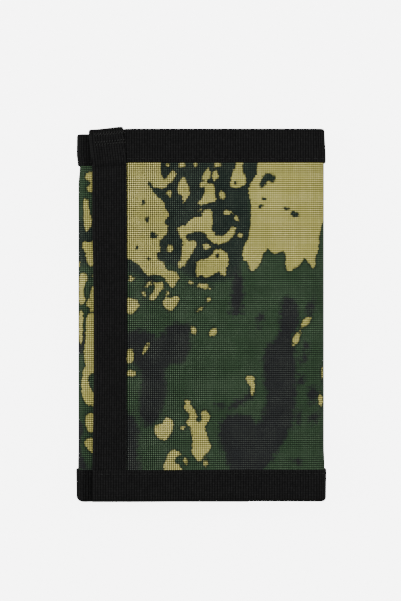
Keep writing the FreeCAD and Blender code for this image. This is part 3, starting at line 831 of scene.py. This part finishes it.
def seam(start, end, z, up, length=1.75, radius=0.13, first=1.2, last=1.0, pitch=SEAM_PITCH):
    """A straight row of stitches on a level face. up is 1 or -1."""
    (ax, ay), (bx, by) = start, end
    reach = math.hypot(bx - ax, by - ay)
    mark = np.arange(first, reach - last, pitch) / reach
    here = np.stack([ax + (bx - ax) * mark, ay + (by - ay) * mark, z + 0 * mark], axis=-1)
    way = ((bx - ax) / reach, (by - ay) / reach, 0)
    return stitches(here, way, (0, 0, up), length, radius)


def strands(starts, shape, radius, sides=4):
    """Bent fibres. shape gives the middle line of each as rows of points from its start."""
    path = starts[:, None, :] + shape
    count, rings = path.shape[:2]
    ahead = np.gradient(path, axis=1)
    ahead /= np.linalg.norm(ahead, axis=2)[..., None]
    side = np.cross(ahead, np.array([0.31, 0.93, 0.2]))
    side /= np.linalg.norm(side, axis=2)[..., None]
    other = np.cross(ahead, side)
    turn = (np.arange(sides) * 2 * math.pi / sides)[:, None]
    points = (path[:, :, None, :] + radius * (side[:, :, None, :] * np.cos(turn)
                                              + other[:, :, None, :] * np.sin(turn)))
    return points.reshape(-1, 3), tube_faces(count, rings, sides)


def merged(parts):
    """Joins (points, faces) pairs into one. Also gives each face's part number."""
    points, faces, numbers, base = [], [], [], 0
    for number, (part_points, part_faces) in enumerate(parts):
        points.append(part_points)
        faces += [[k + base for k in face] for face in part_faces]
        numbers += [number] * len(part_faces)
        base += len(part_points)
    return np.concatenate(points), faces, numbers


def make_piece(name, parts, places, materials, body=None, node=None):
    """One object from several meshes, each in its own material and the rest in the last one.

    places are the cloth coordinates of its first points. It rides on body in place of node."""
    points, faces, numbers = merged(parts)
    values = {}
    if places is not None:
        values["cloth"] = np.zeros((len(points), 3))
        values["cloth"][:len(places)] = places
    obj = add_mesh(name, points, faces, MATERIALS[materials[0]], values)
    for extra in materials[1:]:
        obj.data.materials.append(MATERIALS[extra])
    indexes = [min(number, len(materials) - 1) for number in numbers]
    obj.data.polygons.foreach_set("material_index", indexes)
    if body:
        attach(obj, body)
        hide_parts(node)
    return obj


# ---- the outside -----------------------------------------------------------------------------
def make_cloth(fold):
    short = 0.5 if fold.free_edge else 0
    pitch = 0.5 if fold.name == "flap" else 0.6
    t, y = np.meshgrid(steps(-fold.half_spine, fold.panel_end - short, pitch),
                       steps(-CLOTH_TOP, CLOTH_TOP, pitch))
    u = fold.u(t)
    relief = -0.05 * ripple(u, y, 22, 21) * smooth(0.5, 7.0, np.abs(t))
    points, faces = skin(settle(fold, fold.points(t, y, relief)),
                         settle(fold, fold.points(t, y, relief + SHEET)))
    values = {key: np.tile(v.ravel(), 2) for key, v in print_values(u, y).items()}
    values["cloth"] = both_faces(u, y)
    obj = add_mesh("cloth_" + fold.name, points, faces, MATERIALS["camouflage_cloth"], values)
    join_to_bodies(obj, fold, "shell_")


def folded_ribbon(reach, show, inner_show, outer_depth, inner_depth):
    """The middle line of a ribbon folded over an edge: distance in from the edge, and depth.

    Each comes as rows along the ribbon by columns across it. inner_depth is one value a row."""
    outer = np.concatenate([[show, show - 0.07, show - 0.25], steps(show - 0.6, reach, 0.7)[:-1]])
    inner = np.concatenate([steps(reach, inner_show - 0.6, 0.9)[1:],
                            [inner_show - 0.25, inner_show - 0.07, inner_show]])
    turn = np.linspace(0, math.pi, 11)
    inner_depth = inner_depth[:, None]
    outer_depth = np.full((len(inner_depth), len(outer)), outer_depth)
    middle = (outer_depth[:, -1:] + inner_depth) / 2
    half = (inner_depth - outer_depth[:, -1:]) / 2
    v = np.concatenate([outer, reach - (reach - WEB / 2) * np.sin(turn), inner])
    depth = np.concatenate([outer_depth, middle - half * np.cos(turn)[None, :],
                            np.repeat(inner_depth, len(inner), axis=1)], axis=1)
    return np.broadcast_to(v, depth.shape), depth


def thicken(v, depth, along, thickness, rib):
    """The ribbon's outer and inner faces, as v and depth each, with its ribs on the outer one."""
    dv, dd = np.gradient(v, axis=1), np.gradient(depth, axis=1)
    size = np.hypot(dv, dd)
    nv, nd = -dd / size, dv / size
    taper = np.ones(v.shape[1])
    taper[[0, -1]] = 0.25
    taper[[1, -2]] = 0.75
    half = thickness / 2 * taper
    flat = 0.25 + 0.75 * smooth(0.2, 1.6, v)
    ribs = rib * ridges(along)[:, None] * taper * flat
    outside = (v + nv * (half + ribs), depth + nd * (half + ribs))
    inside = (v - nv * half, depth - nd * half)
    return outside, inside


def ribbon_places(along, v, depth):
    """Cloth coordinates of a ribbon: along it, and across it over the fold."""
    step = np.hypot(np.diff(v, axis=1), np.diff(depth, axis=1))
    across = np.concatenate([np.zeros((len(v), 1)), np.cumsum(step, axis=1)], axis=1)
    return both_faces(*np.broadcast_arrays(along[:, None], across))


def make_binding(fold, name, node, side, edge, show, inner_show, depths, panel_inner=None,
                 web=WEB, rib=0.05, sewn=True, stop=0.0):
    """A ribbon folded over the top or bottom edge, along one fold's spine and panel.

    side is 1 at the top and -1 at the bottom. depths are the middle of its two legs."""
    t = steps(-fold.half_spine, fold.panel_end - stop, RIB_GRID)
    u = fold.u(t)
    outer_depth, inner_depth = depths
    inner = np.full(t.shape, float(inner_depth))
    if panel_inner is not None:
        inner = inner + (panel_inner - inner_depth) * smooth(1.0, 4.5, t)
    lift = 0 * t
    if fold.name == "flap" and side < 0:
        # The flap's bottom ribbon passes over the end of its upright one.
        near_end = smooth(fold.panel_end - 12.6, fold.panel_end - 11.2, t)
        lift = 0.52 * near_end
        inner = inner + 0.42 * near_end
    reach = min(1.5, 0.7 + abs(inner_depth - outer_depth) * 0.25)
    v, depth = folded_ribbon(reach, show, inner_show, outer_depth, inner)
    outer_leg = smooth(0, 1, v / reach - 0.2) * (depth < 0)
    flare = 0.12 * smooth(0, show, v) * smooth(fold.round + 2.0, -0.5, t)[:, None]
    depth = depth - (lift[:, None] + flare) * outer_leg
    sway = 0.10 * ripple(u, 0 * u, 40, 31 + side)[:, None] * smooth(3, show, v)
    grids = [settle(fold, fold.points(t[:, None], side * (edge - vv - sway), dd))
             for vv, dd in thicken(v, depth, u, web, rib)]
    parts = [skin(*grids)]
    if sewn:
        mark = np.arange(-fold.half_spine + 1.5, fold.panel_end - 1.5, SEAM_PITCH)
        y = side * (edge - show + 1.3) + 0 * mark
        d = outer_depth - np.interp(mark, t, lift) - web / 2 - 0.02
        here = settle(fold, fold.points(mark, y, d))
        ways, ups = (settle(fold, fold.points(mark + ahead, y, d - above)) - here
                     for ahead, above in ((0.3, 0), (0, 0.3)))
        ways, ups = (a / np.linalg.norm(a, axis=1)[:, None] for a in (ways, ups))
        parts.append(stitches(here, ways, ups, 1.7, 0.11))
    obj = make_piece(name + fold.name, parts, ribbon_places(u, v, depth), ("ribbon", "thread"))
    join_to_bodies(obj, fold, node)


def make_edge_binding(fold, show, inner_show, inner_depth, low, high, lift=0.0, roll=0.0, cut=None):
    """A ribbon folded over the flap's or the wing's upright edge.

    roll is how far its top end curls down. cut is the height above which its inner leg is
    trimmed back, to clear the zip's end."""
    y = steps(low, high, RIB_GRID)
    reach = 0.95
    v, depth = folded_ribbon(reach, show, inner_show, OUTER_LEG, np.full(y.shape, inner_depth))
    if cut is not None:
        trimmed = reach + (v - reach) * (1 - 0.85 * smooth(cut, cut + 0.5, y))[:, None]
        v = np.where((depth > inner_depth - 0.01) & (v > reach), trimmed, v)

    def lifted(y):
        return lift * smooth(49.9, 51.3, y)

    def swaying(y, v):
        return 0.22 * ripple(y, 0 * y, 60, 41) * smooth(3, show, v)

    curl = roll * np.clip((y - (high - 0.9)) / 0.9, 0, 1) ** 2
    outer_leg = (depth < 0) * smooth(0.1, 1.2, v)
    depth = depth - lifted(y)[:, None] * outer_leg + curl[:, None] * (depth < 0)
    lean = (1.2 if roll else 0.0) * smooth(49, TOP_Y, y)
    sway = swaying(y[:, None], v) - lean[:, None]
    way = fold.panel_way
    edge_x = fold.x + way * fold.panel_end

    def at(vv, dd):
        x = edge_x - way * (vv + sway)
        corner = quarter_round((np.abs(vv - show / 2) - (show / 2 - 0.9)) / 0.9)
        drop = 0.7 * corner + 0.35 * smooth(show, 0, vv)
        drop = drop * (roll > 0) * smooth(high - 3.0, high, y)[:, None]
        return settle(fold, np.stack([x, y[:, None] - drop, fold.z + fold.spine_way * dd], axis=-1))

    parts = [skin(*(at(*face) for face in thicken(v, depth, y, WEB, 0.02)))]
    mark = np.arange(low + 1.5, high - 2.0, SEAM_PITCH)
    row = show - 1.3
    x = edge_x - way * (row + swaying(mark, row))
    z = fold.z - fold.spine_way * (WEB + 0.06 + lifted(mark))
    here = settle(fold, np.stack([x, mark, z], axis=-1))
    parts.append(stitches(here, (0, 1, 0), (0, 0, 1), 1.7, 0.11))
    places = ribbon_places(y, v, depth)[:, [1, 0, 2]]
    make_piece("ribbon_edge_" + fold.name, parts, places, ("ribbon", "thread"), fold.name,
               "edge_binding_" + fold.name)


def make_outside():
    panel_inner = {"flap": 1.9, "back": 3.4, "wing": 4.1}
    inner_show = RIBBON_SHOW - 1
    for fold in FOLDS.values():
        make_cloth(fold)
        make_binding(fold, "ribbon_top_", "top_binding_", 1, TOP_Y, RIBBON_SHOW + 0.3, inner_show,
                     (OUTER_LEG, 0.78))
        make_binding(fold, "ribbon_bottom_", "bottom_binding_", -1, TOP_Y, RIBBON_SHOW - 0.35,
                     inner_show, (OUTER_LEG, 1.9), panel_inner[fold.panel])
    make_edge_binding(FOLDS["flap"], EDGE_SHOW, 1.7, 1.9, -CLOTH_TOP, TOP_Y + 0.85, 0.52, 0.9)
    make_edge_binding(FOLDS["wing"], 8.0, 8.0, 4.1, -50.0, 50.0,
                      cut=span("coin_pocket_lower_panel", Y)[1] - 6.0)


# ---- the inside ------------------------------------------------------------------------------
def make_lining(fold):
    """The lining of one fold's panel and half spine, and the ribbon over its top edge."""
    short = 1.0 if fold.free_edge else 0.0
    t, y = np.meshgrid(steps(-fold.half_spine, fold.panel_end - short, 1.0),
                       steps(LINING_BOTTOM, LINING_TOP - 0.5, 1.0))
    u = fold.u(t)
    crease = 0.10 * np.cos(y / 2.3 + 3 * np.sin(y / 9)) * smooth(5, 0, np.abs(t + 1))
    part = skin(fold.points(t, y, LINING_DEPTH + crease),
                fold.points(t, y, LINING_DEPTH + LINING + crease))
    obj = make_piece("inner_cloth_" + fold.name, [part], both_faces(u, y), ("lining_cloth",))
    join_to_bodies(obj, fold, "lining_")
    # On the wing the ribbon's inner leg lies over the coin pocket.
    coin_leg = WING_Z - span("lining_binding_wing", Z)[0] - 0.1
    make_binding(fold, "inner_ribbon_", "lining_binding_", 1, LINING_TOP, LINING_SHOW, LINING_SHOW,
                 (LINING_DEPTH - 0.11, LINING_DEPTH + LINING + 0.11),
                 coin_leg if fold.name == "wing" else None, web=0.18, rib=0.03, sewn=False,
                 stop=short)


def make_panel(name, node, body, material, seed, cell=1.0, wave=0.05, inset=None):
    """A flat piece of cloth or film in the place of a CAD node, with soft edges.

    inset is how far rows of stitches lie from its upper and lower edges."""
    (x0, x1), (y0, y1), (z0, z1) = spans(node)
    x, y = np.meshgrid(edged_steps(x0, x1, 0.25, 0.7, cell), edged_steps(y0, y1, 0.25, 0.7, cell))
    rim = from_rim(x, y, (x0, x1), (y0, y1))
    middle = (z0 + z1) / 2 + wave * ripple(x, y, 26, seed) * smooth(0, 5, rim)
    half = (z1 - z0) / 2 * (0.35 + 0.65 * smooth(-0.05, 0.5, rim))
    parts = [slab(x, y, middle + half, middle - half)]
    for row in (y0 + inset, y1 - inset) if inset else ():
        parts.append(seam((x0, row), (x1, row), z0, -1, length=1.7, first=1.5))
    obj = make_piece(name, parts, both_faces(x, y), (material, "thread"), body, node)


def make_trim(name, node, body):
    """A flat piece of ribbon in the place of a CAD node, with cross ribs and rows of stitches."""
    (x0, x1), (y0, y1), (z0, z1) = spans(node)
    x, y = np.meshgrid(steps(x0, x1, RIB_GRID), edged_steps(y0, y1, 0.12, 0.4, 0.8))
    rim = np.minimum(y - y0, y1 - y)
    half = (z1 - z0) / 2 * (0.4 + 0.6 * smooth(-0.05, 0.3, rim))
    middle = (z0 + z1) / 2
    rib = 0.05 * ridges(x) * smooth(-0.1, 0.3, rim)
    parts = [slab(x, y, middle + half + rib, middle - half)]
    for row in (y0 + 1.0, y1 - 1.0):
        parts.append(seam((x0, row), (x1, row), z1, 1, radius=0.14, first=1.4))
    make_piece(name, parts, both_faces(x, y), ("ribbon", "thread"), body, node)


def make_card_pockets():
    for i in "123":
        make_panel("pocket_cloth_" + i, "card_pocket_" + i, "back", "lining_cloth", 61, wave=0.04)
        make_trim("pocket_trim_" + i, "card_pocket_trim_" + i, "back")


def make_window():
    make_panel("window_film", "identity_window", "flap", "clear_film", 81)
    (x0, x1), (y0, y1), (z0, z1) = spans("window_frame")
    wide = 6.0
    bands, places = [], []
    for x_span, y_span, upright in (((x0, x0 + wide), (y0, y1), True),
                                    ((x1 - wide, x1), (y0, y1), True),
                                    ((x0 + wide, x1 - wide), (y0, y0 + wide), False)):
        x, y = np.meshgrid(steps(*x_span, 0.7 if upright else RIB_GRID),
                           steps(*y_span, RIB_GRID if upright else 0.7))
        run, across = (y, x) if upright else (x, y)
        bands.append(slab(x, y, z1, z0 - 0.04 * ridges(run)))
        places.append(both_faces(run, across))
    near, far = 1.2, wide - 1.0
    rows = (((x0 + near, y0), (x0 + near, y1)), ((x1 - near, y0), (x1 - near, y1)),
            ((x0 + near, y0 + near), (x1 - near, y0 + near)),
            ((x0 + far, y0 + far), (x0 + far, y1)), ((x1 - far, y0 + far), (x1 - far, y1)),
            ((x0 + far, y0 + far), (x1 - far, y0 + far)))
    parts = [merged(bands)[:2]] + [seam(start, end, z0, -1) for start, end in rows]
    make_piece("window_border", parts, np.concatenate(places), ("ribbon", "thread"), "flap",
               "window_frame")


def make_fastener(name, node, body, material, low, up, fibres):
    """A hook or loop strip: its woven base, its fibres, and the stitches round its edge."""
    (x0, x1), (y0, y1), _ = spans(node)
    x, y = np.meshgrid(steps(x0, x1, 0.7), steps(y0, y1, 0.7))
    thick = 0.28 * (0.5 + 0.5 * smooth(-0.1, 0.6, from_rim(x, y, (x0, x1), (y0, y1))))
    parts = [slab(x, y, low + up * thick, low), fibres]
    corners = ((x0 + 1, y0 + 1), (x1 - 1, y0 + 1), (x1 - 1, y1 - 1), (x0 + 1, y1 - 1))
    for start, end in zip(corners, corners[1:] + corners[:1]):
        parts.append(seam(start, end, low + up * 0.3, up, 1.6, 0.15, 0.6, 0.4, 2.2))
    make_piece(name, parts, both_faces(x, y), ("lining_cloth", material, "thread"), body, node)


def make_fasteners():
    (x0, x1), (y0, y1), (z0, z1) = spans("hook_strip")
    x, y = np.meshgrid(steps(x0 + 1.9, x1 - 1.9, 1.15), steps(y0 + 1.9, y1 - 1.9, 1.15))
    x = x + 0.5 * (np.arange(x.shape[0]) % 2)[:, None]
    starts = np.stack([x, y, z1 - 0.2 + 0 * x], axis=-1).reshape(-1, 3)
    turn = np.linspace(0, 1.25 * math.pi, 7)
    way = np.where(np.arange(len(starts)) % 2, 1.0, -1.0)[:, None]
    stem = z1 - z0 - 0.46
    hook = np.stack([way * (0.2 - 0.2 * np.cos(turn))[None, :], 0 * way * turn,
                     -(stem + 0.2 * np.sin(turn))[None, :] + 0 * way], axis=-1)
    hook = np.concatenate([np.zeros((len(starts), 1, 3)), hook], axis=1)
    make_fastener("hook_fastener", "hook_strip", "flap", "hook_tape", z1, -1,
                  strands(starts, hook, 0.09))
    (x0, x1), (y0, y1), (z0, z1) = spans("loop_strip")
    pick = np.random.default_rng(5)
    count = 1500
    starts = np.stack([pick.uniform(x0 + 1.8, x1 - 1.8, count),
                       pick.uniform(y0 + 1.8, y1 - 1.8, count), np.full(count, z0 + 0.2)], axis=-1)
    turn = np.linspace(0, math.pi, 7)
    angle = pick.uniform(0, 2 * math.pi, count)[:, None]
    reach = pick.uniform(0.3, 0.75, count)[:, None]
    tall = pick.uniform(0.3, 0.52, count)[:, None]
    out = reach * (1 - np.cos(turn))
    loop = np.stack([np.cos(angle) * out, np.sin(angle) * out, tall * np.sin(turn)], axis=-1)
    make_fastener("loop_fastener", "loop_strip", "wing", "loop_tape", z0, 1,
                  strands(starts, loop, 0.05))


def make_coin_pocket():
    for part in ("lower", "upper"):
        make_panel("coin_cloth_" + part, "coin_pocket_%s_panel" % part, "wing", "lining_cloth", 91,
                   inset=1.2)
    (x0, x1), (y0, y1), (z0, z1) = spans("coin_pocket_side_wall")
    y, z = np.meshgrid(steps(y0, y1, 0.9), steps(z0, z1, 0.3))
    bow = 0.12 * np.sin(np.pi * (z - z0) / (z1 - z0)) * (0.6 + 0.4 * np.sin(y / 5.0))
    faces = [np.stack([x - bow, y, z], axis=-1) for x in (x1 - 0.05, x0 + 0.1)]
    make_piece("coin_wall", [skin(*faces)], both_faces(y, z), ("lining_cloth", "thread"), "wing",
               "coin_pocket_side_wall")
    for part in ("lower", "upper"):
        make_panel("fastener_tape_" + part, "zip_tape_" + part, "wing", "zip_tape", 95, cell=0.8,
                   wave=0.0, inset=0.9)


def make_tacks():
    """The dense bars of thread at the flap's top corner and at the pocket mouths."""
    flap = FOLDS["flap"]
    middle = sum(span("flap_corner_tacks", X)) / 2
    rows = []
    for down, shift in ((1.0, 0.0), (1.5, 0.45), (3.8, 0.2), (4.7, 0.6)):
        x = np.arange(-4.9, 5.0, 0.95) + middle + shift
        y = TOP_Y - down + 0.03 * (x - middle)
        rows.append(settle(flap, np.stack([x, y, flap.z + 2 * WEB + 0.14 + 0 * x], axis=-1)))
    part = stitches(np.concatenate(rows), (0.55, 0.84, 0), (0, 0, 1), 0.62, 0.13)
    make_piece("corner_stitches", [part], None, ("tack_thread",), "flap", "flap_corner_tacks")
    (x0, x1), (y0, y1), (z0, _) = spans("pocket_bar_tacks")
    rows = []
    for mouth in (y0, (y0 + y1) / 2 - 3.0, y1 - 6.0):
        for x in (x0 + 0.4, x1 - 0.4):
            y = np.arange(mouth + 0.2, mouth + 5.9, 0.38)
            rows.append(np.stack([x + 0 * y, y, z0 + 0.08 + 0 * y], axis=-1))
    part = stitches(np.concatenate(rows), (0.97, 0.25, 0), (0, 0, 1), 0.9, 0.15)
    make_piece("pocket_stitches", [part], None, ("thread",), "back", "pocket_bar_tacks")


def finish_metal():
    """Softens the edges of the zip's metal pieces and gives them their finish."""
    for node in ("zip_teeth_upper", "zip_teeth_lower", "zip_closed_stop", "zip_open_stop",
                 "zip_slider", "zip_pull"):
        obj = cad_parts[node]
        obj.data.materials.clear()
        obj.data.materials.append(MATERIALS["zip_metal"])
        soften = obj.modifiers.new("edges", "BEVEL")
        soften.width = (0.12 if "teeth" in node else 0.22) * MM
        soften.segments = 3
        soften.limit_method = "ANGLE"
        soften.angle_limit = math.radians(40)
        obj.data.polygons.foreach_set("use_smooth", [False] * len(obj.data.polygons))


def make_inside():
    for fold in FOLDS.values():
        make_lining(fold)
    make_card_pockets()
    make_window()
    make_fasteners()
    make_coin_pocket()
    make_tacks()
    finish_metal()


# ---- stage, lights and camera ----------------------------------------------------------------
FLOOR_HALF = 4.0          # metres
FLOOR_Z = -0.3            # millimetres, just clear of the ribbons
WORLD_LIGHT = 0.36
# Name, place and size in metres, and power in watts.
LIGHTS = (
    ("left_softbox", (-0.85, 0.1, 0.62), (0.5, 0.9), 5.4),
    ("right_softbox", (0.85, 0.15, 0.62), (0.5, 0.9), 4.6),
    ("top_softbox", (0.0, 0.5, 1.2), (0.9, 0.5), 4.6),
)
CAMERA_DISTANCE = 1.0     # metres above the flap
CAMERA_UP = 4.86          # millimetres towards the top from the wallet's middle
CAMERA_RIGHT = -0.08      # millimetres
VIEW_HEIGHT = 0.2014      # metres that the picture's height covers at the flap


def add_object(name, data):
    obj = bpy.data.objects.new(name, data)
    bpy.context.scene.collection.objects.link(obj)
    return obj


def make_stage():
    mesh = bpy.data.meshes.new("floor")
    corners = ((-1, -1), (1, -1), (1, 1), (-1, 1))
    mesh.from_pydata([(x * FLOOR_HALF, y * FLOOR_HALF, FLOOR_Z * MM) for x, y in corners], [],
                     [(0, 1, 2, 3)])
    mesh.materials.append(make_floor())
    floor = add_object("floor", mesh)
    # The glow makes a plain white ground. It sheds no light on the wallet.
    floor.visible_diffuse = False
    floor.visible_glossy = False
    world = bpy.data.worlds.new("studio")
    world.use_nodes = True
    background = world.node_tree.nodes["Background"]
    background.inputs["Color"].default_value = (1, 1, 1, 1)
    background.inputs["Strength"].default_value = WORLD_LIGHT
    bpy.context.scene.world = world
    for name, place, size, power in LIGHTS:
        data = bpy.data.lights.new(name, "AREA")
        data.shape = "RECTANGLE"
        data.size, data.size_y = size
        data.energy = power
        lamp = add_object(name, data)
        lamp.location = place
        lamp.rotation_euler = (-lamp.location).to_track_quat("-Z", "Y").to_euler()


def make_camera():
    data = bpy.data.cameras.new("camera")
    data.sensor_fit = "VERTICAL"
    data.sensor_height = 36.0
    data.lens = 36.0 * CAMERA_DISTANCE / VIEW_HEIGHT
    data.clip_start = 0.05
    camera = add_object("camera", data)
    camera.location = (CAMERA_RIGHT * MM, CAMERA_UP * MM, FLAP_Z * MM + CAMERA_DISTANCE)
    bpy.context.scene.camera = camera


make_stage()
make_camera()
make_outside()
make_inside()
